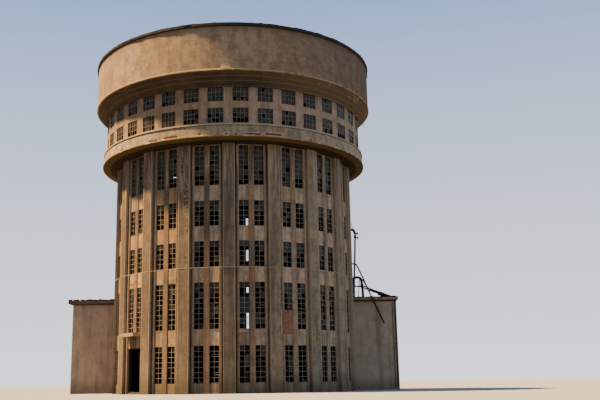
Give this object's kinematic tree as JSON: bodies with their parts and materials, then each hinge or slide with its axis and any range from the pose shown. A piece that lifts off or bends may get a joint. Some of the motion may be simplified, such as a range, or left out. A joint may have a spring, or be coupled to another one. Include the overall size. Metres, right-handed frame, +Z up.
{
  "type": "water tower",
  "caption": "Round derelict water tower: piered, windowed shaft, overhanging glazed gallery on a ring beam, wide tank drum above, and a low plain wing on each side.",
  "frame": {"origin": "on the ground, on the axis of the round tower", "axes": "+Z up along the tower's axis, -Y towards the side seen in the picture, +X to that view's right"},
  "size_m": [35.5, 29.84, 34.7503],
  "materials": {
    "wall_render": "weathered lime render with soot and rust streaks, matt",
    "concrete": "weathered concrete with spalled patches, matt",
    "soffit_concrete": "soot-stained concrete, matt",
    "floor_concrete": "bare concrete, dusty",
    "roof_cap": "dark weathered cement cap, matt",
    "wing_render": "weathered render, matt",
    "brick": "rough red brickwork, matt",
    "rusty_steel": "rusted painted steel, rough",
    "window_steel": "corroded pale-painted steel bars",
    "window_glass": "dusty glass"
  },
  "bodies": {
    "root": {"brick_infill": "brick", "cornice": "roof_cap", "drum_corbel": "soffit_concrete", "entrance_canopy": "concrete", "fallen_rail": "rusty_steel", "floor_1": "floor_concrete", "floor_2": "floor_concrete", "floor_3": "floor_concrete", "floor_4": "floor_concrete", "gallery_floor": "floor_concrete", "gallery_wall_1": "wall_render", "gallery_wall_2": "wall_render", "gallery_wall_3": "wall_render", "gallery_wall_4": "wall_render", "gallery_wall_5": "wall_render", "gallery_wall_6": "wall_render", "ground_floor": "floor_concrete", "infill_lintel": "rusty_steel", "leaning_spar": "rusty_steel", "left_wing_floor": "floor_concrete", "left_wing_roof": "roof_cap", "left_wing_walls": "wing_render", "right_wing_floor": "floor_concrete", "right_wing_roof": "roof_cap", "right_wing_walls": "wing_render", "ring_beam": "concrete", "roof_mast": "rusty_steel", "roof_pipe": "rusty_steel", "shaft_wall_01": "wall_render", "shaft_wall_02": "wall_render", "shaft_wall_03": "wall_render", "shaft_wall_04": "wall_render", "shaft_wall_05": "wall_render", "shaft_wall_06": "wall_render", "shaft_wall_07": "wall_render", "shaft_wall_08": "wall_render", "shaft_wall_09": "wall_render", "shaft_wall_10": "wall_render", "shaft_wall_11": "wall_render", "shaft_wall_12": "wall_render", "shaft_wall_13": "wall_render", "shaft_wall_14": "wall_render", "shaft_wall_15": "wall_render", "shaft_wall_16": "wall_render", "shaft_wall_17": "wall_render", "shaft_wall_18": "wall_render", "tank_floor": "floor_concrete", "tank_roof": "roof_cap", "tank_wall": "concrete"}
  },
  "joints": []
}
